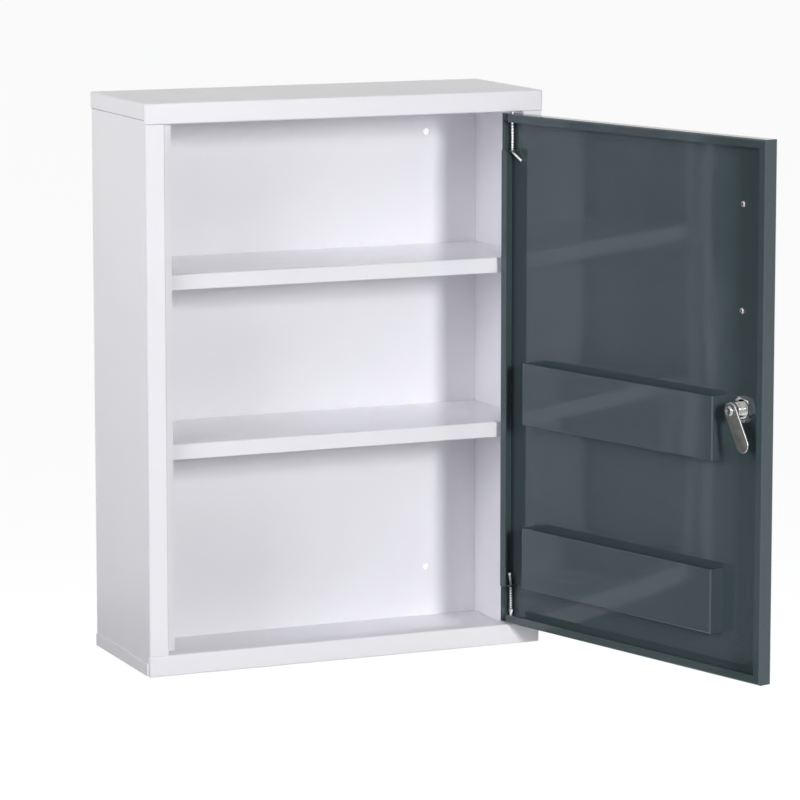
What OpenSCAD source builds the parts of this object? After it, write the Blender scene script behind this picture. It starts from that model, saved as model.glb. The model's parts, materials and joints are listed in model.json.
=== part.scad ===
// Lockable steel wall cabinet with two fixed shelves and one inset door on sprung pivot pins.
// Millimetres. X is the width, +Y runs from the front into the wall, +Z is up.
// The origin is the middle of the wall holes, on the back face of the cabinet.
// The door stands open by door_open degrees.

/* [Cabinet body] */
// Width over the top cap
body_w = 400; // [320:1:500]
// Depth from the front face to the wall
body_d = 150; // [110:1:220]
// Height over all
body_h = 533; // [500:1:700]
// Thickness of the steel sheet
sheet = 1; // [0.7:0.05:1.3]
// Outside radius of the folded edges
bend_r = 1.5; // [1.4:0.1:2]
// Outside radius of the upright front corners of the cap and the pan
corner_r = 2.2; // [1.5:0.1:3]
// Height of the front rails of the cap and the pan
rail_h = 19.6; // [16:0.2:26]
// Height of the side flanges of the top cap
cap_flange_h = 15; // [10:0.5:16]
// Height of the side flanges of the bottom pan
pan_flange_h = 12; // [8:0.5:14]
// Width of the relief notches at the front corners of the bottom pan
relief_w = 1.6; // [1.5:0.1:3]
// Depth of the relief notches
relief_d = 4.5; // [3:0.5:8]
// Height of the relief notches
relief_h = 13.5; // [8:0.5:15]
// Width of the front stiles, from the outer edge of the cabinet to the opening
stile_w = 20; // [16:0.5:28]
// Depth of the recess that the closed door fills
recess_d = 15; // [14.8:0.1:18]
// Width of the door stop along the lock side
stop_w = 11; // [9:0.5:14]
// Gap between the door stop and the rails
stop_gap = 0.8; // [0.5:0.1:3]
// Gap between sheets that butt together
seam = 0.1; // [0.05:0.05:0.3]

/* [Wall holes] */
// Diameter of the four wall holes
wall_hole_d = 6.5; // [5:0.5:9]
// Distance between the wall holes across the cabinet
wall_hole_dx = 290; // [200:1:330]
// Distance between the wall holes up the cabinet
wall_hole_dz = 433; // [300:1:460]

/* [Shelves] */
// Height of the top of the lower shelf above the underside of the cabinet
lower_shelf_z = 214.5; // [205:0.5:216]
// Height of the top of the upper shelf above the underside of the cabinet
upper_shelf_z = 373; // [330:0.5:400]
// Height of the front lip of a shelf
shelf_lip = 14.4; // [10:0.2:20]
// Height of the welding flanges at the sides and back of a shelf
shelf_flange = 10; // [6:0.5:14]
// Distance from the door recess back to the shelf
shelf_setback = 2; // [1.6:0.1:4]

/* [Door] */
// Angle that the door stands open
door_open = 106.3; // [0:0.1:119]
// Thickness of the door over its folded edges
door_t = 14; // [12:0.2:14.4]
// Gap between the door and the hinge stile
hinge_gap = 2.7; // [2.6:0.1:3.5]
// Gap between the door and the lock stile
lock_gap = 2.3; // [1.5:0.1:3.5]
// Gap between the door and each rail
rail_gap = 1.8; // [1:0.1:2.5]
// Width of the return lips along the upright edges
side_lip = 8.2; // [6:0.2:12]
// Height of the return lips along the top and bottom edges
end_lip = 8; // [6:0.2:12]
// Length over which the hinge lip is cut away at each end
lip_notch = 35; // [32:0.5:45]
// Width of the cut at the hinge end of the top and bottom lips
notch_w = 9.4; // [9.2:0.2:12]
// Corner radius of the top and bottom lips at that cut
lip_corner_r = 2; // [1:0.5:4]

/* [Pivot pins] */
// Distance of the door's pivot axis from its hinge edge
pivot_u = 6.3; // [5:0.1:6.4]
// Distance of the door's pivot axis behind its outer face
pivot_n = 5; // [4.5:0.1:5.2]
// Diameter of the pins
pin_d = 2.4; // [2:0.1:2.8]
// Gap all round a pin in its holes
pin_fit = 0.08; // [0.05:0.01:0.1]
// Distance from the end of the door to the bracket that backs the spring
bracket_z = 35; // [33:0.5:40]
// Width and depth of the bracket's shelf
bracket_w = 10.4; // [9.5:0.2:12]
// Height of the bracket's welding flange
bracket_flange = 12; // [6:0.5:16]
// Depth that a pin reaches into the frame beyond the rail's sheet
pin_reach = 2.5; // [1.5:0.1:5]
// Length of the bent finger end of a pin
finger_len = 13.5; // [10:0.5:14.5]
// Angle through which the upper finger end is bent
upper_finger_angle = 55; // [30:1:58]
// Angle through which the lower finger end is bent
lower_finger_angle = 33; // [20:1:58]
// Turn of the upper finger end about the pin
upper_finger_turn = -10; // [-10:1:60]
// Turn of the lower finger end about the pin
lower_finger_turn = 50; // [0:1:60]
// Gap between the finger's bend and the bracket
bend_gap = 0.3; // [0.2:0.1:1]
// Width of the crimped ears that hold the spring
ear_w = 6.6; // [4.8:0.1:7]
// Length of the crimped ears along the pin
ear_len = 5.4; // [3:0.2:7]
// Thickness of the crimped ears
ear_t = 1.4; // [1:0.1:2]
// Gap between the upper ears and the end of the door
upper_ear_gap = 0.3; // [0.2:0.1:2]
// Gap between the lower ears and the end of the door
lower_ear_gap = 4.8; // [3:0.1:6]
// Wire diameter of the pin springs
wire_d = 0.8; // [0.5:0.05:0.8]
// Gap between a pin and its spring
spring_fit = 0.45; // [0.15:0.05:0.5]
// Curls in each pin spring
curls = 11; // [8:1:12]
// Diameter of the bearing washer under the door
washer_d = 7; // [5:0.5:9]
// Play between the door and its bearing washer
washer_play = 0.1; // [0.05:0.05:0.3]

/* [Door pockets] */
// Distance between the pockets and the lock's axis
pocket_clear = 24.6; // [21:0.2:100]
// Height of the pockets
pocket_h = 59.5; // [40:0.5:60]
// Depth of the pockets from the door sheet
pocket_d = 15.5; // [10:0.5:15.5]
// Distance of the pockets from the hinge edge
pocket_u = 34.4; // [30:0.2:36]
// Height of the upper pocket above the bottom edge of the door
upper_pocket_z = 195.6; // [194:0.2:215]
// Height of the lower pocket above the bottom edge of the door
lower_pocket_z = 37.2; // [20:0.2:80]

/* [Lock] */
// Distance of the lock from the free edge
lock_inset = 37; // [34:0.5:40]
// Diameter of the lock's threaded barrel
barrel_d = 18; // [17:0.5:20]
// Width across the two flats of the barrel
barrel_flats = 16; // [15:0.5:16.5]
// Diameter of the lock's front rim
rim_d = 22; // [21:0.5:28]
// Thickness of the front rim
rim_t = 3; // [2:0.5:5]
// Gap between the back of the barrel and the cam
barrel_gap = 1.4; // [0.8:0.1:2]
// Width across the flats of the lock nut
nut_af = 21; // [21:0.5:25]
// Thickness of the lock nut
nut_t = 4; // [2:0.5:5]
// Turn of the lock nut
nut_turn = 16; // [0:1:60]
// Diameter of the turning plug
plug_d = 12; // [11:0.5:13]
// Gap between the plug and the barrel
plug_fit = 0.06; // [0.04:0.01:0.1]
// Width of the keyway
keyway_w = 2; // [1.5:0.1:2.5]
// Height of the keyway
keyway_h = 8; // [7:0.5:9]
// Depth of the keyway
keyway_d = 13.5; // [12:0.5:14]
// Number of wafers in the plug
wafers = 5; // [3:1:6]
// Distance between the wafers
wafer_pitch = 2; // [1.6:0.1:2.1]
// Thickness of a wafer
wafer_t = 0.8; // [0.5:0.1:1]
// Gap between the door stop and the locked cam
cam_gap = 0.8; // [0.5:0.1:1.5]
// Thickness of the cam
cam_t = 1.5; // [1.5:0.1:3]
// Width of the cam
cam_w = 15; // [14:0.5:18]
// Distance from the cam's square hole to the middle of its round end
cam_len = 32.5; // [32:0.5:38]
// Width of the square on the plug
square_w = 7; // [6:0.5:7.5]
// Angle of the cam from hanging straight down towards the free edge
cam_rest = 28; // [0:1:30]

/* [Screws and handle] */
// Head diameter of the cam screw
cam_screw_head = 9.8; // [8.8:0.2:10.4]
// Head height of the cam screw
cam_screw_head_h = 2.6; // [2:0.2:3.4]
// Distance between the two feet of the handle
handle_pitch = 96; // [64:1:128]
// Height of the handle's middle above the lock
handle_rise = 136.5; // [110:0.5:150]
// Distance of the handle from the lock's upright line, towards the hinge edge
handle_shift = 3; // [0:0.5:5]
// Diameter of the handle's bar
handle_d = 8; // [7.5:0.5:12]
// Height of the handle's bar above the door, to its middle
handle_h = 24; // [18:0.5:32]
// Bend radius of the handle's bar, to its middle
handle_bend = 10; // [9:0.5:15]
// Diameter of the handle's feet
foot_d = 12; // [11:0.5:15]
// Thickness of the handle's feet
foot_t = 2.5; // [2:0.5:4]
// Diameter of the machine screws
screw_d = 4; // [3:0.5:4]
// Head diameter of the handle screws
screw_head = 6; // [6:0.2:9]
// Head height of the handle screws
screw_head_h = 2.2; // [1.8:0.2:3]
// Depth that a screw goes into its thread
screw_grip = 9; // [6:0.5:10]

/* [Hidden] */

$fn = 48;
// Length by which cutting tools run past the faces that they cut
over = 1;

// Inside radius of the folded edges
in_r = bend_r - sheet;

// Cabinet body, with X from the middle, Y from the front and Z from the underside
half_w = body_w / 2;
panel_x = half_w - sheet;
inner_x = panel_x - sheet;
opening_x = half_w - stile_w;
opening_h = body_h - 2 * rail_h;

// Door, placed in the opening
door_w = 2 * opening_x - hinge_gap - lock_gap;
door_h = opening_h - 2 * rail_gap;
door_z = rail_h + rail_gap;
pivot_x = opening_x - hinge_gap - pivot_u;
pivot_y = pivot_n;

// Pivot pins and springs, along Z from one end of the door
pin_r = pin_d / 2;
pin_hole_r = pin_r + pin_fit;
pin_tip = rail_gap + sheet + pin_reach;
tip_bevel = pin_r / 3;
pin_flare = 1.4;
spring_r = pin_r + spring_fit + wire_d / 2;
upper_ear_z = sheet + upper_ear_gap;
lower_ear_z = sheet + lower_ear_gap;

// Lock, along its axis from the outer face of the door
lock_u = door_w - lock_inset;
lock_z = door_h / 2;
handle_u = lock_u - handle_shift;
handle_z = lock_z + handle_rise;
pocket_w = lock_u - pocket_clear - pocket_u;
cam_n = recess_d + sheet + cam_gap;
barrel_end = cam_n - barrel_gap;
cam_back = cam_n + cam_t;
thread_fit = 0.05;
square_fit = 0.06;
plug_collar = 0.3;
square_r = square_w / 2;

// Curls of a spring: 8 rings each, and 6 sides round the wire
ring_steps = 8;
wire_sides = 6;

// Places a part of the cabinet body
module in_cabinet() {
    translate([0, -body_d, -body_h / 2]) children();
}

// Places a part of the door: X from the hinge edge, Y from the outer face, Z from the bottom edge
module in_door() {
    in_cabinet()
        translate([pivot_x, pivot_y, door_z])
            rotate([0, 0, door_open])
                mirror([1, 0, 0])
                    translate([-pivot_u, -pivot_n, 0])
                        children();
}

// Places a part of the lock: Z along the lock's axis from the outer face of the door
module in_lock() {
    in_door()
        translate([lock_u, 0, lock_z])
            rotate([-90, 0, 0])
                children();
}

// Places a part that turns with the key
module in_turning_lock() {
    in_lock()
        rotate([0, 0, -cam_rest])
            children();
}

// Places something at one end of the door, with Z from that end towards the middle
module at_door_end(upper) {
    in_door()
        translate([0, 0, upper ? door_h : 0])
            mirror([0, 0, upper ? 1 : 0])
                children();
}

// Rectangle with its own radius at each corner, anticlockwise from the origin
module soft_rect(w, h, radii) {
    corners = [[0, 0], [w, 0], [w, h], [0, h]];
    difference() {
        square([w, h]);
        for (i = [0 : 3])
            if (radii[i] > 0)
                translate(corners[i])
                    rotate(90 * i)
                        corner_bite(radii[i]);
    }
}

// The waste outside a rounded corner at the origin
module corner_bite(r) {
    difference() {
        translate([-over, -over]) square(r + over);
        translate([r, r]) circle(r);
    }
}

// Sheet folded along a path with square bends; the path is the middle of the sheet
module fold(path) {
    bend = bend_r - sheet / 2;
    last = len(path) - 1;
    for (i = [0 : last - 1]) {
        way = (path[i + 1] - path[i]) / norm(path[i + 1] - path[i]);
        from = path[i] + (i == 0 ? 0 : bend) * way;
        to = path[i + 1] - (i == last - 1 ? 0 : bend) * way;
        fold_leg(from, to);
    }
    for (i = [1 : last - 1]) {
        way_in = (path[i] - path[i - 1]) / norm(path[i] - path[i - 1]);
        way_out = (path[i + 1] - path[i]) / norm(path[i + 1] - path[i]);
        fold_elbow(path[i] + bend * (way_out - way_in), way_in - way_out, bend);
    }
}

// One flat leg of a fold
module fold_leg(from, to) {
    low = [min(from[0], to[0]), min(from[1], to[1])];
    high = [max(from[0], to[0]), max(from[1], to[1])];
    flat = high - low;
    grow = [flat[0] > flat[1] ? 0 : sheet / 2, flat[0] > flat[1] ? sheet / 2 : 0];
    translate(low - grow) square(flat + 2 * grow);
}

// One quarter-circle bend of a fold, round its centre, on the side that outward points to
module fold_elbow(centre, outward, bend) {
    r = bend + sheet / 2;
    translate(centre)
        intersection() {
            difference() {
                circle(r);
                circle(r - sheet);
            }
            translate([outward[0] > 0 ? 0 : -r, outward[1] > 0 ? 0 : -r]) square(r);
        }
}

// Solid block with folded edges: the radii along X (front low, rear low, rear high, front high),
// along Y (left low, right low) and up (front corners)
module folded_block(w, d, h, along_x, along_y, upright) {
    intersection() {
        rotate([90, 0, 90])
            linear_extrude(w, center = true)
                soft_rect(d, h, along_x);
        translate([0, d, 0])
            rotate([90, 0, 0])
                linear_extrude(d)
                    translate([-w / 2, 0]) soft_rect(w, h, [along_y, along_y, 0, 0]);
        linear_extrude(h)
            translate([-w / 2, 0]) soft_rect(w, d, [upright, upright, 0, 0]);
    }
}

// Pressed cap with its plate down: front rail, return behind the rail, and side flanges
module cap(flange_h) {
    difference() {
        folded_block(body_w, body_d, rail_h, [bend_r, 0, 0, bend_r], bend_r, corner_r);
        translate([0, sheet, sheet])
            folded_block(2 * panel_x, body_d, rail_h - 2 * sheet, [in_r, 0, 0, in_r], in_r, corner_r - sheet);
        translate([-half_w - over, recess_d, rail_h - sheet - over])
            cube([body_w + 2 * over, body_d, sheet + 2 * over]);
        for (side = [-1, 1])
            translate([side * (inner_x + half_w + over) / 2, 0, 0])
                side_trim(half_w + over - inner_x + 2 * seam, flange_h);
        translate([pivot_x, pivot_y, rail_h / 2]) cylinder(h = rail_h, r = pin_hole_r);
    }
}

// Waste that keeps the front and side flanges of the pan apart at its front corners
module corner_relief() {
    for (side = [0, 1])
        mirror([side, 0, 0])
            translate([-half_w - over, -over, -over])
                cube([relief_w + over, relief_d + over, relief_h + over]);
}

// Waste above a side flange of the cap, behind the rail
module side_trim(w, flange_h) {
    translate([-w / 2, sheet + seam, flange_h])
        cube([w, body_d, rail_h]);
}

module top_cap() {
    color("gainsboro")
        in_cabinet()
            translate([0, 0, body_h])
                mirror([0, 0, 1])
                    cap(cap_flange_h);
}

module bottom_pan() {
    color("gainsboro")
        in_cabinet()
            difference() {
                cap(pan_flange_h);
                corner_relief();
            }
}

// Left-hand side panel with stile and jamb, and with or without the door stop
module side_panel(with_stop) {
    mid = sheet / 2;
    wall = [[mid - panel_x, body_d], [mid - panel_x, mid], [-opening_x - mid, mid]];
    jamb = [[-opening_x - mid, recess_d + (with_stop ? mid : sheet)]];
    stop = with_stop ? [[stop_w - opening_x, recess_d + mid]] : [];
    difference() {
        translate([0, 0, bend_r])
            linear_extrude(body_h - 2 * bend_r)
                fold(concat(wall, jamb, stop));
        for (high = [0, 1])
            translate([0, 0, high * body_h])
                mirror([0, 0, high])
                    panel_end_trim();
    }
}

// Waste where a side panel meets a rail, and where the door stop ends short of it
module panel_end_trim() {
    translate([-half_w, -over, -over])
        cube([stile_w + stop_w + over, corner_r + over, rail_h + seam + over]);
    translate([-inner_x, -over, -over])
        cube([stile_w + stop_w, recess_d + 2 * sheet + over, rail_h + seam + over]);
    translate([-opening_x, recess_d - seam, -over])
        cube([stop_w + over, sheet + 2 * seam, rail_h + stop_gap + over]);
}

module left_side_panel() {
    color("gainsboro")
        in_cabinet()
            side_panel(true);
}

module right_side_panel() {
    color("gainsboro")
        in_cabinet()
            mirror([1, 0, 0])
                side_panel(false);
}

module back_panel() {
    x = inner_x - seam;
    z = sheet + seam;
    color("whitesmoke")
        in_cabinet()
            difference() {
                translate([-x, body_d - sheet, z])
                    cube([2 * x, sheet, body_h - 2 * z]);
                for (side = [-1, 1], level = [-1, 1])
                    translate([side * wall_hole_dx / 2, body_d - sheet - over, body_h / 2 + level * wall_hole_dz / 2])
                        rotate([-90, 0, 0])
                            cylinder(h = sheet + 2 * over, d = wall_hole_d);
            }
}

// Shelf tray, drawn upside down with its plate at the origin, and its flanges rising
module shelf(top_z) {
    w = 2 * (inner_x - seam);
    front = recess_d + shelf_setback;
    d = body_d - sheet - seam - front;
    in_cabinet()
        translate([0, front, top_z])
            mirror([0, 0, 1])
                difference() {
                    folded_block(w, d, shelf_lip, [bend_r, bend_r, 0, 0], bend_r, 0);
                    translate([0, sheet, sheet])
                        folded_block(w - 2 * sheet, d - 2 * sheet, shelf_lip, [in_r, in_r, 0, 0], in_r, 0);
                    translate([-w / 2 - over, bend_r, shelf_flange])
                        cube([w + 2 * over, d, shelf_lip]);
                }
}

module upper_shelf() {
    color("gainsboro") shelf(upper_shelf_z);
}

module lower_shelf() {
    color("gainsboro") shelf(lower_shelf_z);
}

// Outline of what the door's return lips leave open, seen from behind the door
module lip_opening() {
    translate([side_lip, end_lip])
        square([door_w - 2 * side_lip, door_h - 2 * end_lip]);
    for (high = [0, 1])
        translate([0, high * door_h])
            mirror([0, high]) {
                translate([-over, -over]) square([notch_w + over, lip_notch + over]);
                translate([notch_w, end_lip]) mirror([0, 1]) corner_bite(lip_corner_r);
            }
}

// Block of the door's outer size, less an even inset, with folded edges all round
module door_block(inset) {
    r = bend_r - inset;
    w = door_w - 2 * inset;
    t = door_t - 2 * inset;
    h = door_h - 2 * inset;
    translate([inset, inset, inset])
        intersection() {
            linear_extrude(h) soft_rect(w, t, [r, r, r, r]);
            rotate([90, 0, 90]) linear_extrude(w) soft_rect(t, h, [r, r, r, r]);
        }
}

module door_panel() {
    color("darkslategray")
        in_door()
            difference() {
                door_block(0);
                door_block(sheet);
                translate([0, door_t + over, 0])
                    rotate([90, 0, 0])
                        linear_extrude(sheet + bend_r / 2 + over) lip_opening();
                translate([pivot_u, pivot_n, -over])
                    cylinder(h = door_h + 2 * over, r = pin_hole_r);
                translate([lock_u, -over, lock_z])
                    rotate([-90, 0, 0])
                        linear_extrude(sheet + 2 * over) barrel_outline(thread_fit);
                for (end = [-1, 1])
                    translate([handle_u, -over, handle_z + end * handle_pitch / 2])
                        rotate([-90, 0, 0])
                            cylinder(h = sheet + 2 * over, d = screw_d + 2 * thread_fit);
            }
}

// Open-topped pocket, welded to the inside of the door sheet
module door_pocket(z) {
    in_door()
        translate([pocket_u, sheet, z])
            difference() {
                intersection() {
                    linear_extrude(pocket_h) soft_rect(pocket_w, pocket_d, [0, 0, bend_r, bend_r]);
                    rotate([90, 0, 90]) linear_extrude(pocket_w) soft_rect(pocket_d, pocket_h, [0, bend_r, 0, 0]);
                }
                translate([sheet, -over, sheet])
                    intersection() {
                        linear_extrude(pocket_h)
                            soft_rect(pocket_w - 2 * sheet, pocket_d - sheet + over, [0, 0, in_r, in_r]);
                        rotate([90, 0, 90])
                            linear_extrude(pocket_w)
                                soft_rect(pocket_d - sheet + over, pocket_h, [0, in_r, 0, 0]);
                    }
            }
}

module upper_door_pocket() {
    color("slategray") door_pocket(upper_pocket_z);
}

module lower_door_pocket() {
    color("slategray") door_pocket(lower_pocket_z);
}

// Angle bracket inside the hinge edge, which backs the spring and guides the pin
module pin_bracket() {
    difference() {
        translate([sheet, sheet, bracket_z]) {
            linear_extrude(sheet) soft_rect(bracket_w, bracket_w, [in_r, 0, lip_corner_r, 0]);
            linear_extrude(bracket_flange) soft_rect(sheet, bracket_w, [in_r, 0, 0, 0]);
        }
        translate([pivot_u, pivot_n, bracket_z - over])
            cylinder(h = sheet + 2 * over, r = pin_hole_r);
    }
}

module upper_pin_bracket() {
    color("darkslategray") at_door_end(true) pin_bracket();
}

module lower_pin_bracket() {
    color("darkslategray") at_door_end(false) pin_bracket();
}

// Sprung pin: straight rod with crimped ears for the spring, and a bent finger end
module pivot_pin(ear_z, angle, turn) {
    bend_z = bracket_z + sheet + bend_gap + pin_r * tan(angle / 2);
    translate([pivot_u, pivot_n, 0]) {
        translate([0, 0, bend_z])
            rotate([0, 0, turn]) {
                pin_rod(bend_z + pin_tip, angle);
                pin_finger(angle);
            }
        translate([0, ear_t / 2, 0])
            rotate([90, 0, 0])
                linear_extrude(ear_t)
                    polygon([
                        [-pin_r / 2, ear_z], [pin_r / 2, ear_z],
                        [ear_w / 2, ear_z + ear_len], [-ear_w / 2, ear_z + ear_len]
                    ]);
    }
}

// Straight rod of a pin below its bend at the origin, with a bevelled tip
module pin_rod(length, angle) {
    difference() {
        rotate_extrude()
            polygon([
                [0, -length], [pin_r - tip_bevel, -length], [pin_r, tip_bevel - length],
                [pin_r, pin_d], [0, pin_d]
            ]);
        rotate([0, angle / 2, 0]) translate([-pin_d, -pin_d, 0]) cube([2 * pin_d, 2 * pin_d, 2 * pin_d]);
    }
}

// Finger end of a pin from its bend at the origin, leaning towards X, with a flared tip
module pin_finger(angle) {
    difference() {
        rotate([0, angle, 0])
            rotate_extrude()
                polygon([
                    [0, -pin_d], [pin_r, -pin_d], [pin_r, finger_len - 2 * pin_r],
                    [pin_flare * pin_r, finger_len - tip_bevel],
                    [pin_r, finger_len], [0, finger_len]
                ]);
        rotate([0, angle / 2, 0]) translate([-2 * pin_d, -2 * pin_d, -4 * pin_d]) cube(4 * pin_d);
    }
}

module upper_pivot_pin() {
    color("silver")
        at_door_end(true)
            pivot_pin(upper_ear_z, upper_finger_angle, upper_finger_turn);
}

module lower_pivot_pin() {
    color("silver")
        at_door_end(false)
            pivot_pin(lower_ear_z, lower_finger_angle, lower_finger_turn);
}

// Middle line of a spring: a straight end, the curls, and a straight end
function spring_path(length) =
    let (
        steps = curls * ring_steps,
        climb = (length - 2 * wire_d) / steps
    )
    concat(
        [[spring_r, 0, 0]],
        [for (i = [0 : steps])
            [spring_r * cos(360 * i / ring_steps), spring_r * sin(360 * i / ring_steps), wire_d + climb * i]],
        [[spring_r, 0, length]]
    );

function unit(v) = v / norm(v);

// Way that the wire runs at a point of its path
function wire_way(path, i) =
    let (last = len(path) - 1)
    i == 0 ? unit(path[1] - path[0])
    : i == last ? unit(path[last] - path[last - 1])
    : unit(unit(path[i + 1] - path[i]) + unit(path[i] - path[i - 1]));

// Corners of the wire's section at a point of its path
function wire_ring(path, i) =
    let (
        out = unit([path[i][0], path[i][1], 0]),
        side = cross(wire_way(path, i), out)
    )
    [for (k = [0 : wire_sides - 1])
        path[i] + wire_d / 2 * (cos(360 * k / wire_sides) * out + sin(360 * k / wire_sides) * side)];

// Least gap between a curl and the next
function least_gap(path) =
    min([for (i = [0 : len(path) - 1 - ring_steps / 2], j = [i + ring_steps / 2 : len(path) - 1])
        norm(path[i] - path[j])]) - wire_d;

// Coil spring round the pin, from its ears to the bracket
module pin_spring(ear_z) {
    start = ear_z + ear_len;
    path = spring_path(bracket_z - start);
    rings = len(path);
    points = [for (i = [0 : rings - 1]) each wire_ring(path, i)];
    sides = [for (i = [0 : rings - 2], k = [0 : wire_sides - 1])
        let (
            a = i * wire_sides + k,
            b = i * wire_sides + (k + 1) % wire_sides
        )
        each [[a, b, b + wire_sides], [a, b + wire_sides, a + wire_sides]]];
    base = (rings - 1) * wire_sides;
    ends = [for (k = [1 : wire_sides - 2]) each [[0, k + 1, k], [base, base + k, base + k + 1]]];
    echo(least_gap_between_curls = least_gap(path));
    translate([pivot_u, pivot_n, start])
        polyhedron(points, concat(sides, ends));
}

module upper_pin_spring() {
    color("lightgray") at_door_end(true) pin_spring(upper_ear_z);
}

module lower_pin_spring() {
    color("lightgray") at_door_end(false) pin_spring(lower_ear_z);
}

// Washer on the lower rail that carries the door
module bearing_washer() {
    color("white")
        in_cabinet()
            translate([pivot_x, pivot_y, rail_h])
                difference() {
                    cylinder(h = rail_gap - washer_play, d = washer_d);
                    translate([0, 0, -over]) cylinder(h = rail_gap + 2 * over, r = pin_hole_r);
                }
}

// Bow handle on the outer face, with blind threaded holes in its feet
module pull_handle() {
    reach = handle_pitch / 2;
    straight = 2 * (reach - handle_bend);
    color("silver")
        in_door()
            translate([handle_u, 0, handle_z])
                difference() {
                    union() {
                        translate([0, -handle_h, -straight / 2]) cylinder(h = straight, d = handle_d);
                        for (high = [0, 1])
                            mirror([0, 0, high]) handle_end(reach);
                    }
                    for (end = [-1, 1])
                        translate([0, over, end * reach])
                            rotate([90, 0, 0])
                                cylinder(h = screw_grip + 2 * over, d = screw_d + 2 * thread_fit);
                }
}

// One end of the handle: its bend, its post and its foot
module handle_end(reach) {
    translate([0, handle_bend - handle_h, reach - handle_bend])
        rotate([90, 0, -90])
            rotate_extrude(angle = 90)
                translate([handle_bend, 0]) circle(d = handle_d);
    translate([0, 0, reach])
        rotate([90, 0, 0]) {
            cylinder(h = handle_h - handle_bend, d = handle_d);
            cylinder(h = foot_t, d = foot_d);
        }
}

// Pan-headed machine screw with a cross recess, along Z, with its head above the origin
module screw(head_d, head_h, shank) {
    cross_w = head_d / 6;
    difference() {
        rotate_extrude()
            polygon([
                [0, -shank], [screw_d / 2, -shank], [screw_d / 2, 0], [head_d / 2, 0],
                [head_d / 2, head_h / 3], [0.43 * head_d, 0.7 * head_h], [head_d / 3, head_h], [0, head_h]
            ]);
        for (turn = [0, 90])
            rotate([0, 0, turn])
                translate([-head_d / 4, -cross_w / 2, head_h / 2])
                    cube([head_d / 2, cross_w, head_h]);
    }
}

module handle_screws() {
    color("silver")
        in_door()
            for (end = [-1, 1])
                translate([handle_u, sheet, handle_z + end * handle_pitch / 2])
                    rotate([-90, 45, 0])
                        screw(screw_head, screw_head_h, sheet + screw_grip);
}

// Round barrel section with two flats, grown by a gap
module barrel_outline(gap) {
    intersection() {
        circle(d = barrel_d + 2 * gap);
        square([barrel_d + 2 * over, barrel_flats + 2 * gap], center = true);
    }
}

module lock_barrel() {
    color("silver")
        in_lock()
            difference() {
                union() {
                    translate([0, 0, -rim_t]) cylinder(h = rim_t, d = rim_d);
                    linear_extrude(barrel_end) barrel_outline(0);
                }
                translate([0, 0, -rim_t - over])
                    cylinder(h = barrel_end + rim_t + 2 * over, d = plug_d + 2 * plug_fit);
            }
}

module lock_nut() {
    color("silver")
        in_lock()
            translate([0, 0, sheet])
                difference() {
                    rotate([0, 0, -90 - nut_turn]) cylinder(h = nut_t, d = nut_af / cos(30), $fn = 6);
                    translate([0, 0, -over]) cylinder(h = nut_t + 2 * over, d = barrel_d + 2 * thread_fit);
                }
}

// Places each wafer along the plug
module at_wafers() {
    for (i = [1 : wafers])
        translate([0, 0, i * wafer_pitch])
            children();
}

// Turning plug with its keyway, wafer slots, collar, and the square that carries the cam
module lock_plug() {
    slot_h = plug_d - 2 * sheet;
    color("gold")
        in_turning_lock()
            difference() {
                union() {
                    translate([0, 0, -rim_t]) cylinder(h = rim_t + barrel_end + plug_collar, d = plug_d);
                    translate([0, 0, barrel_end + plug_collar])
                        cylinder(h = barrel_gap - plug_collar, d = plug_d + 2 * sheet);
                    translate([-square_r, -square_r, cam_n]) cube([square_w, square_w, cam_t]);
                }
                translate([-keyway_w / 2, -keyway_h / 2, -rim_t - over])
                    cube([keyway_w, keyway_h, keyway_d + over]);
                at_wafers()
                    translate([-keyway_w - square_fit, -slot_h / 2, -square_fit])
                        cube([2 * (keyway_w + square_fit), slot_h, wafer_t + 2 * square_fit]);
                translate([0, 0, cam_back - screw_len()])
                    cylinder(h = screw_len() + over, d = screw_d + 2 * thread_fit);
            }
}

// Length of the cam screw below its head, within the plug behind the keyway
function screw_len() = cam_back + rim_t - keyway_d - sheet;

module lock_wafers() {
    h = plug_d - 2 * sheet - 2 * square_fit;
    color("goldenrod")
        in_turning_lock()
            at_wafers()
                difference() {
                    translate([-keyway_w, -h / 2, 0]) cube([2 * keyway_w, h, wafer_t]);
                    translate([-keyway_w / 2, -keyway_h / 2 + sheet, -over])
                        cube([keyway_w, keyway_h - 2 * sheet, wafer_t + 2 * over]);
                }
}

// Flat cam with round ends and a square hole
module lock_cam() {
    hole = square_w + 2 * square_fit;
    color("silver")
        in_turning_lock()
            translate([0, 0, cam_n])
                linear_extrude(cam_t)
                    difference() {
                        union() {
                            circle(d = cam_w);
                            translate([0, cam_len]) circle(d = cam_w);
                            translate([-cam_w / 2, 0]) square([cam_w, cam_len]);
                        }
                        square(hole, center = true);
                    }
}

module cam_screw() {
    color("gold")
        in_turning_lock()
            translate([0, 0, cam_back])
                rotate([0, 0, 45])
                    screw(cam_screw_head, cam_screw_head_h, screw_len() - sheet);
}

top_cap();
bottom_pan();
left_side_panel();
right_side_panel();
back_panel();
upper_shelf();
lower_shelf();
door_panel();
upper_door_pocket();
lower_door_pocket();
upper_pin_bracket();
lower_pin_bracket();
upper_pivot_pin();
lower_pivot_pin();
upper_pin_spring();
lower_pin_spring();
bearing_washer();
pull_handle();
handle_screws();
lock_barrel();
lock_nut();
lock_plug();
lock_wafers();
lock_cam();
cam_screw();
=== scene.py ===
# %% [markdown]
# # A sheet-steel medicine cabinet
# This lesson dresses a cabinet that was drawn in CAD. The sheets, the door and
# the handle come ready as solids and only need their finish. The small
# hardware, such as the springs, the pins and the lock, is modelled again here,
# because in CAD it is kept plain. First the CAD model is loaded as a fixed frame.

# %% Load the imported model
import json
import math
import bmesh
import bpy
from mathutils import Matrix, Vector


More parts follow.
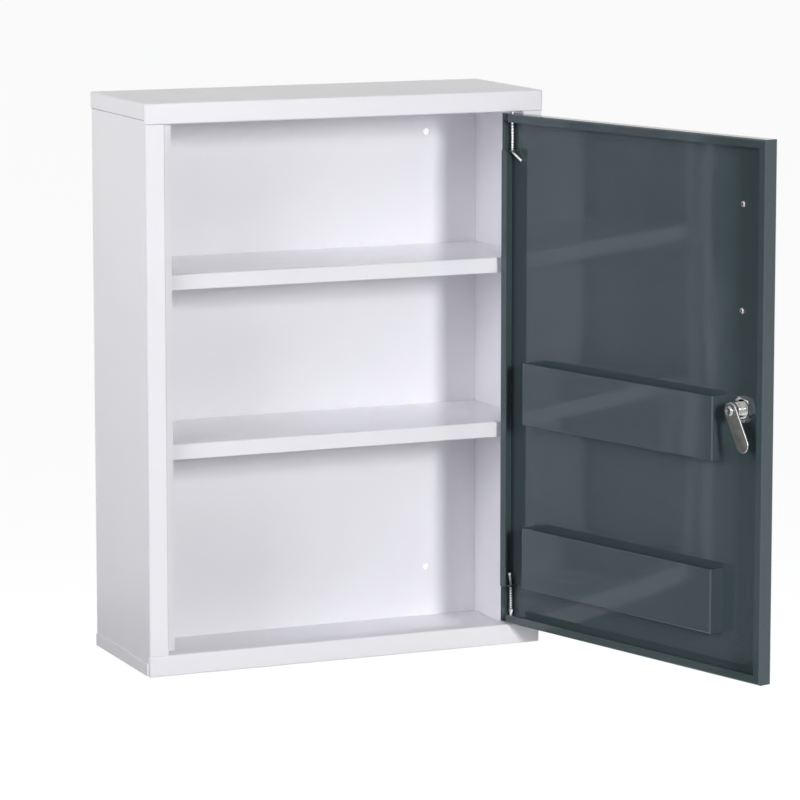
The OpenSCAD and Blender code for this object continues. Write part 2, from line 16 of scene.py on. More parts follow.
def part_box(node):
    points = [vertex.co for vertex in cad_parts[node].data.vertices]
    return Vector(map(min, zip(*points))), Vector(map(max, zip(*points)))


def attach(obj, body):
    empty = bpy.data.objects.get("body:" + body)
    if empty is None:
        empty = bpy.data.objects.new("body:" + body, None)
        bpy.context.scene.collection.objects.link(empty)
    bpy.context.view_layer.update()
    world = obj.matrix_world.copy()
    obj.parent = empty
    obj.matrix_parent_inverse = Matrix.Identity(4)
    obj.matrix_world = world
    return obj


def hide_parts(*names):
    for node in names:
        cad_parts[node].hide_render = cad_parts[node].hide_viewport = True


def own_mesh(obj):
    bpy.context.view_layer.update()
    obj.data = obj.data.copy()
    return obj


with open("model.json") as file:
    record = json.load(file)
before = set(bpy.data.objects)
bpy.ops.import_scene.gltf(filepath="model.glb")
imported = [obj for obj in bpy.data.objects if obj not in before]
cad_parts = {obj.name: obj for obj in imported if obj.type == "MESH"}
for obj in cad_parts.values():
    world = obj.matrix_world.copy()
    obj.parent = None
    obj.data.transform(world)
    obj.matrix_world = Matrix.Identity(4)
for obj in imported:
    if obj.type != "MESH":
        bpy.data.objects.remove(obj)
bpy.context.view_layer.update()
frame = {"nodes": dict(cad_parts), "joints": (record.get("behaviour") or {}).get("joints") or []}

MM = 0.001
nodes = frame["nodes"]
joints = {joint["name"]: joint for joint in frame["joints"]}
print("CAD pieces:", len(nodes), "joints:", sorted(joints))

# %% [markdown]
# ## The camera
# The photograph was taken with a long lens from the left and a little above.
# Its place was worked out from the corners of the cabinet. The horizon line of
# the lens sits above the middle of the frame, so a small shift lowers the view.

# %% Camera
PICTURE, FOCAL = 800, 3966.37  # width of the picture and length of the lens, in pixels
SENSOR = 36  # width of the sensor, in millimetres
EYE = (-1.40284, -3.54282, 0.56821)
YAW, PITCH = 23.223, 7.921  # degrees
LENS_SHIFT = -0.1
FAR = 200

bpy.ops.object.camera_add(
    location=EYE,
    rotation=(math.radians(90 - PITCH), 0, math.radians(-YAW)),
)
camera = bpy.context.object
camera.data.sensor_width = SENSOR
camera.data.lens = FOCAL / PICTURE * SENSOR
camera.data.shift_y = LENS_SHIFT
camera.data.clip_end = FAR
bpy.context.scene.camera = camera
print("lens", round(camera.data.lens, 1), "mm")

# %% [markdown]
# ## The studio
# White enamel shows its shape only through small steps of grey, so the light is
# soft and nearly even. The surround gives only a little light, but the camera
# and shiny pieces see it as plain white. Materials and the surround are small
# trees of nodes, so first come three helpers that plant and wire them.

# %% Helpers for nodes
def wire(tree, source, target):
    tree.links.new(source, target)


def plant(tree, kind, **settings):
    """Adds a node; each setting is named after its socket, with _ for a space."""
    node = tree.nodes.new("ShaderNode" + kind)
    for name, value in settings.items():
        node.inputs[name.replace("_", " ")].default_value = value
    return node


def reckon(tree, operation, *terms):
    """The result of a Math node, whose terms are numbers or other nodes' results."""
    node = plant(tree, "Math")
    node.operation = operation
    for socket, term in zip(node.inputs, terms):
        if isinstance(term, (int, float)):
            socket.default_value = term
        else:
            wire(tree, term, socket)
    return node.outputs[0]


def sees_white(tree):
    """1 for camera, glossy and transmission rays, else 0."""
    rays = plant(tree, "LightPath").outputs
    seen = reckon(tree, "MAXIMUM", rays["Is Camera Ray"], rays["Is Glossy Ray"])
    return reckon(tree, "MAXIMUM", seen, rays["Is Transmission Ray"])


# %% Surround
scene = bpy.context.scene
scene.view_settings.view_transform = "Standard"
surround = bpy.data.worlds.new("studio surround")
scene.world = surround
surround.use_nodes = True
tree = surround.node_tree
tree.nodes.clear()
light = plant(tree, "Background", Color=(0.955, 0.955, 1.0, 1), Strength=0.07)
white = plant(tree, "Background", Color=(0.975, 0.975, 0.975, 1), Strength=1.0)
choice = plant(tree, "MixShader")
wire(tree, sees_white(tree), choice.inputs[0])
wire(tree, light.outputs[0], choice.inputs[1])
wire(tree, white.outputs[0], choice.inputs[2])
wire(tree, choice.outputs[0], plant(tree, "OutputWorld").inputs["Surface"])
print("surround strength", round(light.inputs["Strength"].default_value, 3))

# %% [markdown]
# ## Lamps
# A lamp in front makes the soft shadows under the shelves and beside the door.
# A large one at the left fills them. A small one close to the left side lets
# that side fade downwards, and one behind lights the top.

# %% Lamps
def lamp(name, around, height, away, size, power, colour=(1, 1, 1)):
    """A soft lamp that faces the cabinet.

    It stands some degrees round from the front and some degrees up, at a
    distance in metres, and its size is (width, height).
    """
    a, h = math.radians(around), math.radians(height)
    place = Vector((math.sin(a) * math.cos(h), -math.cos(a) * math.cos(h), math.sin(h))) * away
    bpy.ops.object.light_add(type="AREA", location=place)
    lit = bpy.context.object
    lit.name = name
    lit.rotation_euler = (-place).to_track_quat("-Z", "Y").to_euler()
    lit.data.shape = "RECTANGLE"
    lit.data.size, lit.data.size_y = size
    lit.data.energy = power
    lit.data.color = colour
    lit.visible_camera = False
    print(name, [round(x, 2) for x in lit.location])
    return lit


lamp("front_lamp", 3.3, 13, 3.4, (0.38, 0.6), 53)
lamp("left_lamp", -57, 15, 3.6, (1.6, 1.6), 50, (0.94, 0.94, 1))
near_lamp = lamp("near_lamp", -82.4, 21.6, 0.814, (0.3, 0.3), 0.95, (1, 1, 0.93))
back_lamp = lamp("back_lamp", 150, 55, 3.0, (1.5, 1.5), 27, (1, 1, 0.96))
for lit in (near_lamp, back_lamp):
    lit.visible_glossy = False

# %% [markdown]
# ## Two cards
# Glossy paint shows what stands around it. A narrow dark card at the left, out
# of the picture, gives the door a calm dark reflection beside that of the
# cabinet, as in the photograph. A grey one lies low under the cabinet and dims
# the foot of the door. The camera doesn't see the cards themselves.

# %% Cards
CARD_BLACK = (0.03, 0.032, 0.034, 1)


def card(name, paint_name, place, tilt, size, **settings):
    """A flat sheet that casts no shadow, in a paint with these shader settings."""
    bpy.ops.mesh.primitive_plane_add(size=1, location=place, rotation=(0, tilt, 0))
    sheet = bpy.context.object
    sheet.name = name
    sheet.dimensions = (*size, 0)
    sheet.visible_camera = False
    sheet.visible_shadow = False
    paint = bpy.data.materials.new(paint_name)
    paint.use_nodes = True
    shader = paint.node_tree.nodes["Principled BSDF"]
    for socket, value in settings.items():
        shader.inputs[socket.replace("_", " ")].default_value = value
    sheet.data.materials.append(paint)
    print(name, [round(x, 2) for x in sheet.dimensions])
    return sheet


card("dark_card", "dark card", (-1.0, 0.235, -0.22), math.pi / 2, (1.0, 0.14),
     Base_Color=CARD_BLACK, Roughness=0.9)
low_card = card("low_grey_card", "grey card", (-0.45, 0, -0.3), 0, (1.2, 0.6),
                Base_Color=CARD_BLACK, Emission_Color=(1, 1, 1, 1), Emission_Strength=0.16)
low_card.visible_diffuse = False

# %% [markdown]
# ## The floor
# The cabinet hangs on a wall, so the floor lies well below it. It is a plain
# pale sheet. A little extra light, which only the camera and shiny pieces see,
# brings it to white, and the soft shadow of the cabinet stays on it.

# %% Floor
FLOOR_SIZE, FLOOR_Z, FLOOR_GLOW = 90, -1.3, 0.9

bpy.ops.mesh.primitive_plane_add(size=FLOOR_SIZE, location=(0, 0, FLOOR_Z))
floor = bpy.context.object
floor.name = "floor"
pale = bpy.data.materials.new("pale floor")
pale.use_nodes = True
tree = pale.node_tree
tree.nodes.clear()
matt = plant(tree, "BsdfDiffuse", Color=(0.8, 0.8, 0.8, 1))
lift = plant(tree, "Emission", Color=(1, 1, 1, 1))
wire(tree, reckon(tree, "MULTIPLY", sees_white(tree), FLOOR_GLOW), lift.inputs["Strength"])
both = plant(tree, "AddShader")
wire(tree, matt.outputs[0], both.inputs[0])
wire(tree, lift.outputs[0], both.inputs[1])
wire(tree, both.outputs[0], plant(tree, "OutputMaterial").inputs["Surface"])
floor.data.materials.append(pale)
print("floor at", round(floor.location.z, 2))

# %% [markdown]
# ## Finishes
# Powder enamel is a smooth coat with a fine orange peel, and the thin sheet
# under it is never quite flat, which shows in its reflections. Each finish is
# made from the same few steps: two close colours mixed by slow noise, a
# roughness that wanders a little, and bumps at the scale of the real grain.

# %% Helper for a finish
NOISE_LOW, NOISE_HIGH = 0.3, 0.7  # most of the noise lies between these


def finish_of(name, dark, pale, gloss, metal=0.0, patch=6.0, grain=450.0, grain_depth=0.02,
              wave=None):
    """Procedural finish; patch, grain and wave are in waves per metre, depths in millimetres."""
    made = bpy.data.materials.new(name)
    made.use_nodes = True
    tree = made.node_tree
    shader = tree.nodes["Principled BSDF"]
    shader.inputs["Metallic"].default_value = metal
    place = plant(tree, "TexCoord")

    def noise(scale, detail):
        node = plant(tree, "TexNoise", Scale=scale, Detail=detail)
        wire(tree, place.outputs["Object"], node.inputs["Vector"])
        return node.outputs[0]

    def bumps(scale, detail, depth):
        node = plant(tree, "Bump", Strength=1.0, Distance=depth * MM)
        wire(tree, noise(scale, detail), node.inputs["Height"])
        return node

    colour = plant(tree, "ValToRGB")
    ends = zip(colour.color_ramp.elements, (NOISE_LOW, NOISE_HIGH), (dark, pale))
    for end, position, shade in ends:
        end.position = position
        end.color = (*shade, 1)
    wire(tree, noise(patch, 3), colour.inputs[0])
    wire(tree, colour.outputs[0], shader.inputs["Base Color"])
    rough = plant(tree, "MapRange", From_Min=NOISE_LOW, From_Max=NOISE_HIGH,
                  To_Min=gloss[0], To_Max=gloss[1])
    wire(tree, noise(patch * 4, 4), rough.inputs["Value"])
    wire(tree, rough.outputs[0], shader.inputs["Roughness"])
    peel = bumps(grain, 2, grain_depth)
    if wave:
        slack = bumps(wave[0], 1, wave[1])
        wire(tree, slack.outputs[0], peel.inputs["Normal"])
    wire(tree, peel.outputs[0], shader.inputs["Normal"])
    return made


# %% [markdown]
# Each line gives the darker and the paler colour and the least and greatest
# roughness. The three whites are one paint: satin on the outer sheets, with a
# copy for the sides that will carry a painted seam shadow, and glossier on the shelves.

# %% Enamels and metals
WHITES = (0.915, 0.91, 0.94), (0.95, 0.945, 0.975)
SATIN = {"gloss": (0.32, 0.40), "grain_depth": 0.004, "wave": (5, 0.25)}

white_enamel = finish_of("white enamel", *WHITES, **SATIN)
side_enamel = finish_of("white enamel with a painted seam shadow", *WHITES, **SATIN)
shelf_enamel = finish_of("glossy white enamel", *WHITES,
                         (0.08, 0.12), grain_depth=0.002, wave=(5, 0.12))
slate_enamel = finish_of("slate enamel", (0.060, 0.085, 0.089), (0.067, 0.094, 0.099),
                         (0.05, 0.09), grain_depth=0.004, wave=(6, 1.1))
coat = slate_enamel.node_tree.nodes["Principled BSDF"]
coat.inputs["Specular IOR Level"].default_value = 0.63
coat.inputs["Specular Tint"].default_value = (0.84, 0.85, 1, 1)
zinc_steel = finish_of("bright zinc", (0.30, 0.295, 0.28), (0.52, 0.515, 0.50),
                       (0.24, 0.38), metal=1.0, patch=300, grain=1800, grain_depth=0.02)
pin_steel = finish_of("polished pin", (0.92, 0.925, 0.93), (0.97, 0.975, 0.98),
                      (0.50, 0.60), metal=1.0, patch=120, grain=1800, grain_depth=0.01)
spring_steel = finish_of("spring wire", (0.19, 0.20, 0.205), (0.25, 0.26, 0.265),
                         (0.34, 0.44), metal=1.0, patch=160, grain=2400, grain_depth=0.008)
chrome = finish_of("chrome plate", (0.30, 0.305, 0.30), (0.48, 0.485, 0.48),
                   (0.07, 0.13), metal=1.0, patch=260, grain=900, grain_depth=0.004,
                   wave=(420, 0.10))
nut_steel = finish_of("bright nut", (0.50, 0.505, 0.50), (0.68, 0.685, 0.68),
                      (0.18, 0.28), metal=1.0, patch=260, grain=900, grain_depth=0.004)
cam_steel = finish_of("satin plated cam", (0.165, 0.170, 0.156), (0.215, 0.221, 0.204),
                      (0.26, 0.38), metal=1.0, patch=140, grain=1600, grain_depth=0.012)
brass = finish_of("wafer brass", (0.60, 0.42, 0.16), (0.72, 0.53, 0.24),
                  (0.25, 0.38), metal=1.0, patch=150, grain=1500, grain_depth=0.01)
nylon = finish_of("white plastic", (0.72, 0.72, 0.70), (0.80, 0.80, 0.78),
                  (0.38, 0.5), patch=200, grain=900, grain_depth=0.01)
print("finishes:", len(bpy.data.materials))

# %% [markdown]
# ## Painted shade at a fold and a seam, and painted highlights
# The fold at the front left corner is painted a duller white: painted shade
# that dims its highlight. The edges of the cam and the nut are painted bright:
# a painted highlight. Both are a second colour, mixed in by the way that a
# face looks. A painted shadow line in the seam under the cap is mixed in by height.

# %% Second colours
def mix_in(material, amount, colour):
    """Mixes a second colour into a finish by an amount from another node."""
    tree = material.node_tree
    base = tree.nodes["Principled BSDF"].inputs["Base Color"]
    mix = plant(tree, "MixRGB", Color2=(*colour, 1))
    wire(tree, amount, mix.inputs["Fac"])
    wire(tree, base.links[0].from_socket, mix.inputs["Color1"])
    wire(tree, mix.outputs[0], base)


def tint_facing(material, way, none_at, full_at, colour):
    """Tints faces by how squarely they look one way: 1 is straight at it, 0 is across."""
    tree = material.node_tree
    facing = plant(tree, "VectorMath")
    facing.operation = "DOT_PRODUCT"
    facing.inputs[1].default_value = way
    wire(tree, plant(tree, "TexCoord").outputs["Normal"], facing.inputs[0])
    edge = plant(tree, "MapRange", From_Min=none_at, From_Max=full_at)
    wire(tree, facing.outputs["Value"], edge.inputs["Value"])
    mix_in(material, edge.outputs[0], colour)


def line_at(material, height, half, colour):
    """A line across a finish at one height; both sizes are in millimetres."""
    tree = material.node_tree
    parts = plant(tree, "SeparateXYZ")
    wire(tree, plant(tree, "TexCoord").outputs["Object"], parts.inputs[0])
    mix_in(material, reckon(tree, "COMPARE", parts.outputs["Z"], height * MM, half * MM), colour)


inward = Vector(joints["lock_turn"]["axis"]).normalized()
FRONT_LEFT = (-0.707, -0.707, 0)
FOLD_SHADE, SEAM_SHADOW, RIM_HIGHLIGHT = (0.74, 0.735, 0.76), (0.42, 0.42, 0.42), (0.85, 0.85, 0.83)
SEAM_Z, SEAM_HALF = 250.9, 0.6

# Painted shade: faces turned to the front left, on the corner fold, get a duller white.
for enamel in (white_enamel, side_enamel):
    tint_facing(enamel, FRONT_LEFT, 0.80, 0.93, FOLD_SHADE)
# Painted shadow: a dark line on the side panels just under the cap's flange.
line_at(side_enamel, SEAM_Z, SEAM_HALF, SEAM_SHADOW)
# Painted highlight: edges and sides of the cam and the nut, turned from the door's inward way,
# are lightened.
for steel in (cam_steel, nut_steel):
    tint_facing(steel, inward, 0.97, 0.80, RIM_HIGHLIGHT)
print("door's inward way", [round(x, 3) for x in inward])

# %% [markdown]
# ## Which piece wears which finish
# A CAD piece keeps its mesh and only gets a material.

# %% Finish the CAD pieces
WEARS = {
    white_enamel: ["top_cap", "bottom_pan", "back_panel"],
    side_enamel: ["left_side_panel", "right_side_panel"],
    shelf_enamel: ["upper_shelf", "lower_shelf"],
    slate_enamel: ["door_panel", "upper_door_pocket", "lower_door_pocket",
                   "upper_pin_bracket", "lower_pin_bracket"],
    zinc_steel: ["upper_pivot_pin", "lower_pivot_pin", "handle_screws"],
    spring_steel: ["upper_pin_spring", "lower_pin_spring"],
    chrome: ["pull_handle", "lock_barrel", "lock_plug", "cam_screw"],
    nut_steel: ["lock_nut"],
    cam_steel: ["lock_cam"],
    brass: ["lock_wafers"],
    nylon: ["bearing_washer"],
}


def wear(piece, material):
    piece.data.materials.clear()
    piece.data.materials.append(material)


for material, names in WEARS.items():
    for name in names:
        wear(nodes[name], material)
print("finished:", sum(len(names) for names in WEARS.values()), "of", len(nodes))

# %% [markdown]
# ## Modelling by hand
# The small hardware is built the way it would be built with the mouse: a simple
# shape is added, some of its edges or faces are picked, and they are extruded,
# resized or bevelled. These helpers do the picking and the tidying up. All sizes
# in them are in millimetres.

# %% Helpers for picking and extruding
HAIR = 0.001  # points this close to a height count as lying on it
SMOOTH_BELOW = 32  # edges bent by fewer degrees are shaded smooth


def mm(values):
    """Millimetres, as the metres that Blender takes."""
    return [value * MM for value in values]


def only(piece):
    """Selects just this piece, in object mode."""
    if bpy.context.mode != "OBJECT":
        bpy.ops.object.mode_set(mode="OBJECT")
    bpy.ops.object.select_all(action="DESELECT")
    piece.select_set(True)
    bpy.context.view_layer.objects.active = piece


def pick(piece, kind, test):
    """Edit mode, with only the points, edges or faces picked whose points all pass the test."""
    only(piece)
    bpy.ops.object.mode_set(mode="EDIT")
    bpy.ops.mesh.select_mode(type=kind)
    bpy.ops.mesh.select_all(action="DESELECT")
    shape = bmesh.from_edit_mesh(piece.data)
    items = {"VERT": shape.verts, "EDGE": shape.edges, "FACE": shape.faces}[kind]
    for item in items:
        points = [item.co] if kind == "VERT" else [point.co for point in item.verts]
        if all(test(*(point / MM)) for point in points):
            item.select_set(True)
    bmesh.update_edit_mesh(piece.data)


def new_ring(sides, radius, height):
    """A ring of edges, picked in edit mode, from which a piece is extruded."""
    bpy.ops.mesh.primitive_circle_add(vertices=sides, radius=radius * MM,
                                      location=(0, 0, height * MM))
    piece = bpy.context.object
    only(piece)
    bpy.ops.object.transform_apply(location=True)
    bpy.ops.object.mode_set(mode="EDIT")
    bpy.ops.mesh.select_mode(type="EDGE")
    bpy.ops.mesh.select_all(action="SELECT")
    return piece


def grow(move, size=1.0, about=(0, 0, 0)):
    """Extrudes what is picked, then resizes it about a point."""
    bpy.ops.mesh.extrude_region_move(TRANSFORM_OT_translate={"value": mm(move)})
    bpy.ops.transform.resize(
        value=size if hasattr(size, "__len__") else (size, size, size),
        center_override=mm(about),
    )


def round_over(offset, segments):
    """Rounds the edges that are picked."""
    bpy.ops.mesh.bevel(offset=offset * MM, segments=segments, profile=0.5, affect="EDGES")


def use(piece, kind, **settings):
    """Adds a modifier and applies it at once."""
    only(piece)
    added = piece.modifiers.new(kind, kind)
    for name, value in settings.items():
        setattr(added, name, value)
    bpy.ops.object.modifier_apply(modifier=added.name)


def clean(piece):
    """Closes what is open, merges doubles and turns all faces outwards."""
    pick(piece, "FACE", lambda x, y, z: True)
    bpy.ops.mesh.select_all(action="SELECT")
    bpy.ops.mesh.remove_doubles(threshold=0.002 * MM)
    bpy.ops.mesh.fill_holes(sides=0)
    bpy.ops.mesh.select_all(action="SELECT")
    bpy.ops.mesh.normals_make_consistent(inside=False)
    bpy.ops.object.mode_set(mode="OBJECT")


def settle(piece, name, place, material, body, slot, *stands_for):
    """Moves a clean piece into its place on the cabinet and hands it to its body."""
    only(piece)
    piece.name = piece.data.name = name
    piece.matrix_world = place @ piece.matrix_world
    bpy.ops.object.transform_apply(location=True, rotation=True, scale=True)
    bpy.ops.object.shade_smooth_by_angle(angle=math.radians(SMOOTH_BELOW))
    wear(piece, material)
    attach(piece, body)
    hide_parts(*stands_for)
    low = [min(v.co[i] for v in piece.data.vertices) / MM for i in range(3)]
    high = [max(v.co[i] for v in piece.data.vertices) / MM for i in range(3)]
    cad_low, cad_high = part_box(stands_for[0])
    off = max(abs(a - b / MM) for a, b in zip(low + high, [*cad_low, *cad_high]))
    print(name, len(piece.data.polygons), "faces,", round(off, 2), "mm off the CAD box")


# %% [markdown]
# ## Where the door's hardware sits
# Each piece is modelled upright at the origin. These frames then carry it to
# the lock, or to the top or the foot of the hinge side of the open door.

# %% Frames on the door
DOOR_HALF = 245.1 * MM
along = Vector((-inward.y, inward.x, 0))
lock_axis = Vector(joints["lock_turn"]["pos_m"])
hinge_axis = Vector(joints["door_hinge"]["pos_m"])


def frame_of(x_way, z_way, origin):
    """A frame with its X and Z along the two ways."""
    y_way = z_way.cross(x_way)
    turned = Matrix((x_way, y_way, z_way)).transposed().to_4x4()
    return Matrix.Translation(origin) @ turned


def shifted(place, rise):
    """The same frame, moved along its Z."""
    return place @ Matrix.Translation((0, 0, rise * MM))


AT_LOCK = frame_of(along, inward, lock_axis)
AT_TOP = frame_of(along, Vector((0, 0, -1)), hinge_axis + Vector((0, 0, DOOR_HALF)))
AT_FOOT = frame_of(along, Vector((0, 0, 1)), hinge_axis - Vector((0, 0, DOOR_HALF)))
print("door is", round(2 * DOOR_HALF / MM, 1), "mm high")

# %% [markdown]
# ## Springs
# Each pin is pushed out by a compression spring of thin round wire. A spring is
# a circle of wire swept round an axis, which is just what the Screw modifier
# does. Its last curl at each end lies flat against the next, so the rings of
# the sweep are then slid along the axis.

# %% Springs
WIRE, CURL, TURNS = 0.4, 2.05, 11  # radius of the wire, radius of the coil, number of turns
STEPS, SIDES = 28, 10  # rings of the mesh in a turn, points in a ring
BRACKET = 35.0  # from the door's edge to the bracket
UPPER_FOOT, LOWER_FOOT = 6.7, 11.2  # from the door's edge to the other end of the spring


def wind_spring(name, length, place, node):
    bpy.ops.mesh.primitive_circle_add(
        vertices=SIDES, radius=WIRE * MM, location=(CURL * MM, 0, 0), rotation=(math.pi / 2, 0, 0)
    )
    spring = bpy.context.object
    only(spring)
    bpy.ops.object.transform_apply(location=True, rotation=True)
    use(spring, "SCREW", axis="Z", angle=2 * math.pi, screw_offset=1 * MM, iterations=TURNS,
        steps=STEPS, render_steps=STEPS)
    last = TURNS * STEPS
    free = (length - 6 * WIRE) / (TURNS - 2)
    for vertex in spring.data.vertices:
        ring = min(vertex.index // SIDES, last)
        turn = ring / STEPS
        flat = min(turn, 1) + max(turn - TURNS + 1, 0)
        height = WIRE + flat * 2 * WIRE + (min(max(turn, 1), TURNS - 1) - 1) * free
        vertex.co.z += (height - turn) * MM
    clean(spring)
    settle(spring, name, place, spring_steel, "door", "spring_steel", node)
    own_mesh(spring)


wind_spring("upper_spring_wire", BRACKET - UPPER_FOOT, shifted(AT_TOP, UPPER_FOOT),
            "upper_pin_spring")
wind_spring("lower_spring_wire", BRACKET - LOWER_FOOT, shifted(AT_FOOT, LOWER_FOOT),
            "lower_pin_spring")

# %% [markdown]
# ## Pivot pins
# A pin is one piece of round rod. It is pressed flat into two small ears, which
# hold the spring, and its end is bent over as a finger grip. So a ring of edges
# is extruded up the rod, squeezed wide and thin for the ears, and spun round
# the bend.

# %% Pivot pins
ROD, NOSE = 1.2, 0.8  # radius of the rod, and of its pointed outer end
STANDS_OUT, CHAMFER = 5.3, 0.4  # how far the outer end passes the door's edge
EAR_START, EAR_END = -0.5, 6.0  # from the place of the ears
EARS = ((0.9, 1.05, 0.82), (5.0, 2.62, 0.68), (0.25, 0.93, 0.9))  # step, wider, thinner
EAR_CLOSE = 0.35
CORNER, BEND, FINGER = 36.3, 1.8, 13.5  # inside of the corner, radius of the bend, finger
BEND_STEPS = 8
TIP = ((2.0, 1.18), (0.25, 0.94), (0.15, 0.8))  # step, resized by


def draw_pin(name, ear, lean, turn, place, body, node):
    """A pin with its ears at a height, and a finger that leans out one way, in degrees."""
    lean, turn = math.radians(lean), math.radians(turn)
    pin = new_ring(24, NOSE, -STANDS_OUT)
    grow((0, 0, CHAMFER), (ROD / NOSE, ROD / NOSE, 1))
    grow((0, 0, ear + EAR_START + STANDS_OUT - CHAMFER))
    wide, thin = 1, 1
    for step, wider, thinner in EARS:
        grow((0, 0, step), (wider, thinner, 1))
        wide, thin = wide * wider, thin * thinner
    grow((0, 0, EAR_CLOSE), (1 / wide, 1 / thin, 1))
    corner = CORNER + ROD * math.tan(lean / 2)
    start = corner - BEND * math.tan(lean / 2)
    grow((0, 0, start - ear - EAR_END))
    way = Vector((math.cos(turn), math.sin(turn), 0))
    bpy.ops.mesh.spin(
        steps=BEND_STEPS, angle=lean, center=[*(way * BEND * MM)[:2], start * MM],
        axis=way.cross(Vector((0, 0, 1))),
    )
    out = way * math.sin(lean) + Vector((0, 0, math.cos(lean)))
    tip = Vector((0, 0, corner)) + out * FINGER
    left = sum(step for step, size in TIP)
    grow(out * (FINGER - BEND * math.tan(lean / 2) - left))
    for step, size in TIP:
        left -= step
        grow(out * step, size, tip - out * left)
    clean(pin)
    settle(pin, name, place, pin_steel, body, "zinc_steel", node)


draw_pin("upper_bent_pin", 1.3, 55, -10, AT_TOP, "upper_pin", "upper_pivot_pin")
draw_pin("lower_bent_pin", 5.8, 33, -50, AT_FOOT, "lower_pin", "lower_pivot_pin")

# %% [markdown]
# ## Cross-head screws
# A pan head is a short cylinder with its top edge rounded far over. The cross
# recess is cut by two tapered bars, and the shank is extruded from the
# underside. One screw is modelled for each size, and the handle's second screw
# is a copy of the first.

# %% Helpers for cutting
def cutter(size, location, taper=1.0):
    """A block that narrows downwards, for cutting."""
    bpy.ops.mesh.primitive_cube_add(size=1, location=mm(location), scale=mm(size))
    block = bpy.context.object
    only(block)
    bpy.ops.object.transform_apply(location=True, scale=True)
    foot = location[2] - size[2] / 2
    pick(block, "FACE", lambda x, y, z: z < foot + HAIR)
    bpy.ops.transform.resize(value=(taper, taper, 1), center_override=mm(location))
    bpy.ops.object.mode_set(mode="OBJECT")
    return block


def cut(piece, tool, way="DIFFERENCE"):
    use(piece, "BOOLEAN", object=tool, operation=way, solver="EXACT")
    bpy.data.objects.remove(tool)


# %% Screws
SHANK = 4.0
HEAD_SIDES = 48
ROUNDED, EASED = 0.78, 0.12  # the top edge by a share of the rise, the lower by millimetres
POINT, POINT_SIZE = 0.4, 0.8
BAR_LONG, BAR_WIDE, BAR_UP, BAR_TAPER = 0.6, 0.16, 0.85, 0.45  # shares of the head, the rise
CAM_FACE = 18.3  # from the door's inside to the cam's outer face
DOOR_SHEET = 1.0
GRIP_ASIDE, GRIP_RISES = -3, (88.5, 184.5)  # the handle's screws, from the lock's axis


def turn_screw(head, rise, length):
    """A screw with its head standing on the origin and its shank below."""
    bpy.ops.mesh.primitive_cylinder_add(vertices=HEAD_SIDES, radius=head / 2 * MM,
                                        depth=rise * MM, location=(0, 0, rise / 2 * MM))
    screw = bpy.context.object
    only(screw)
    bpy.ops.object.transform_apply(location=True)
    pick(screw, "EDGE", lambda x, y, z: z > rise - HAIR)
    round_over(rise * ROUNDED, 7)
    pick(screw, "EDGE", lambda x, y, z: z < HAIR)
    round_over(EASED, 2)
    pick(screw, "FACE", lambda x, y, z: z < HAIR)
    grow((0, 0, 0), SHANK / (head - 2 * EASED))
    grow((0, 0, POINT - length))
    grow((0, 0, -POINT), POINT_SIZE, (0, 0, -length))
    bpy.ops.object.mode_set(mode="OBJECT")
    for size in ((BAR_LONG * head, BAR_WIDE * head), (BAR_WIDE * head, BAR_LONG * head)):
        cut(screw, cutter((*size, rise), (0, 0, rise * BAR_UP), BAR_TAPER))
    clean(screw)
    return screw


settle(turn_screw(9.8, 2.6, 5.8), "cross_cam_screw", shifted(AT_LOCK, CAM_FACE),
       chrome, "lock", "chrome", "cam_screw")
lower_screw = turn_screw(6.0, 2.2, 10.0)
lower_screw.data.transform(Matrix.Rotation(math.radians(45), 4, "Z"))
only(lower_screw)
bpy.ops.object.duplicate()
upper_screw = bpy.context.object
for screw, rise, name in zip((lower_screw, upper_screw), GRIP_RISES,
                             ("lower_handle_screw", "upper_handle_screw")):
    aside = Matrix.Translation((GRIP_ASIDE * MM, rise * MM, 0))
    settle(screw, name, shifted(AT_LOCK @ aside, DOOR_SHEET),
           zinc_steel, "door", "zinc_steel", "handle_screws")

# %% [markdown]
# ## Lock
# The barrel of a cam lock is a turned tube with a fine thread and two flats. Its
# outline is drawn as a row of rings, and two blocks mill the flats. The nut is
# a turned ring with chamfers, kept only where a six-sided bar overlaps it.

# %% Barrel and nut
def turned_tube(outline, sides=64):
    """A closed ring of revolution from its outline of (radius, height)."""
    tube = new_ring(sides, *outline[0])
    for (r, z), (next_r, next_z) in zip(outline, outline[1:] + outline[:1]):
        grow((0, 0, next_z - z), (next_r / r, next_r / r, 1))
    clean(tube)
    return tube


# Thread: radius at its crests and roots, its first height, half its pitch, its points
CREST, ROOT, THREAD_START, HALF_PITCH, THREAD_POINTS = 9.0, 8.62, 0.6, 0.5, 29
RIM = [(6.06, -2.6), (6.4, -3.0), (10.2, -3.0), (10.75, -2.75), (11.0, -2.2), (11.0, 0.0)]
MOUTH = [(8.4, 15.0), (8.1, 15.4), (6.4, 15.4), (6.06, 15.1)]
NUT = [(9.06, 1.3), (9.4, 1.0), (11.6, 1.0), (12.2, 1.4), (12.2, 4.4), (10.7, 5.0),
       (9.4, 5.0), (9.06, 4.7)]
NUT_HALF, NUT_TURN = 10.5, 46 - 90  # half its width across flats, degrees
HEX_BAR, HEX_BAR_UP = 8, 3  # length and middle of the bar that makes its six sides
MILL, MILL_OUT, MILL_UP = (24, 8, 20), 12, 10.001  # a block that mills a flat, and its place

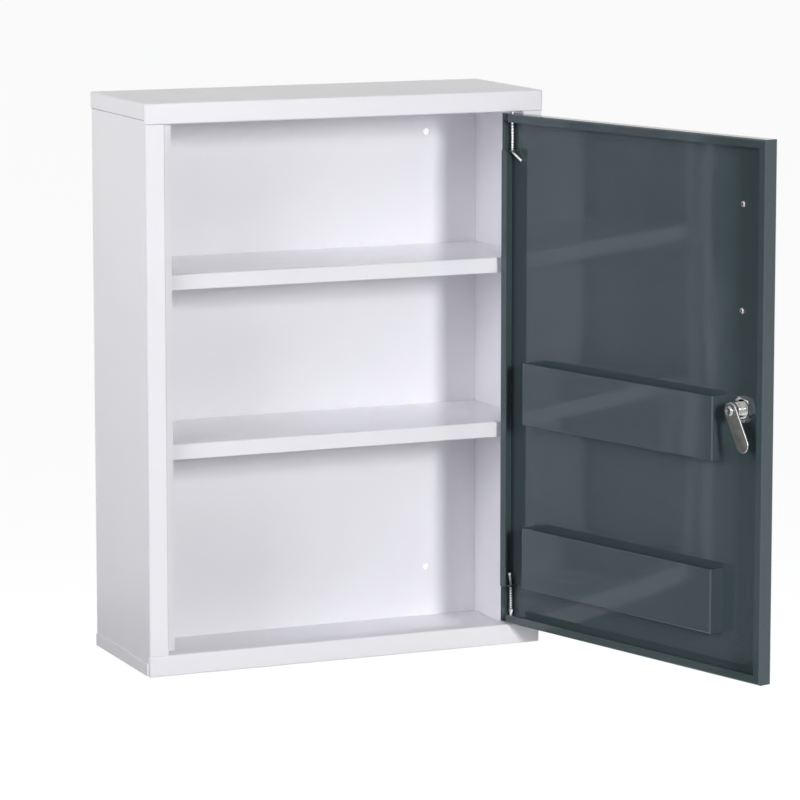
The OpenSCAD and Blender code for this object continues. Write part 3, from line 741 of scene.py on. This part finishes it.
thread = [(CREST if i % 2 else ROOT, THREAD_START + HALF_PITCH * i)
          for i in range(THREAD_POINTS)]
barrel = turned_tube(RIM + [(ROOT, 0.0)] + thread + MOUTH)
for side in (-1, 1):
    cut(barrel, cutter(MILL, (0, side * MILL_OUT, MILL_UP)))
clean(barrel)
settle(barrel, "threaded_lock_barrel", AT_LOCK, chrome, "door", "chrome", "lock_barrel")

nut = turned_tube(NUT, 96)
bpy.ops.mesh.primitive_cylinder_add(
    vertices=6, radius=NUT_HALF / math.cos(math.radians(30)) * MM, depth=HEX_BAR * MM,
    location=(0, 0, HEX_BAR_UP * MM), rotation=(0, 0, math.radians(NUT_TURN)),
)
cut(nut, bpy.context.object, "INTERSECT")
clean(nut)
settle(nut, "chamfered_lock_nut", AT_LOCK, nut_steel, "door", "chrome", "lock_nut")

# %% [markdown]
# ## Cam
# The cam is stamped from plate, so one face has softly rolled edges. It is a
# disc whose far half is moved out to the other end, and a square hole fits it
# to the plug.

# %% Cam
CAM_RADIUS, CAM_REACH, CAM_SHEET = 7.5, 32.5, 1.5
CAM_SIDES = 72
CAM_SQUARE = 7.1
CAM_TURN = 28 - 90  # degrees
CAM_MIDDLE = CAM_FACE - CAM_SHEET / 2
NEAR = 0.01  # millimetres

bpy.ops.mesh.primitive_cylinder_add(vertices=CAM_SIDES, radius=CAM_RADIUS * MM,
                                    depth=CAM_SHEET * MM, location=(0, 0, CAM_MIDDLE * MM))
cam = bpy.context.object
only(cam)
bpy.ops.object.transform_apply(location=True)
pick(cam, "VERT", lambda x, y, z: x > NEAR)
bpy.ops.transform.translate(value=(CAM_REACH * MM, 0, 0))
bpy.ops.object.mode_set(mode="OBJECT")
pick(cam, "EDGE", lambda x, y, z: z > CAM_FACE - NEAR)
round_over(0.45, 4)
pick(cam, "EDGE", lambda x, y, z: z < CAM_FACE - CAM_SHEET + NEAR)
round_over(0.15, 2)
bpy.ops.object.mode_set(mode="OBJECT")
cut(cam, cutter((CAM_SQUARE, CAM_SQUARE, 4), (0, 0, CAM_MIDDLE)))
clean(cam)
cam.data.transform(Matrix.Rotation(math.radians(CAM_TURN), 4, "Z"))
settle(cam, "stamped_lock_cam", AT_LOCK, cam_steel, "lock", "zinc_steel", "lock_cam")
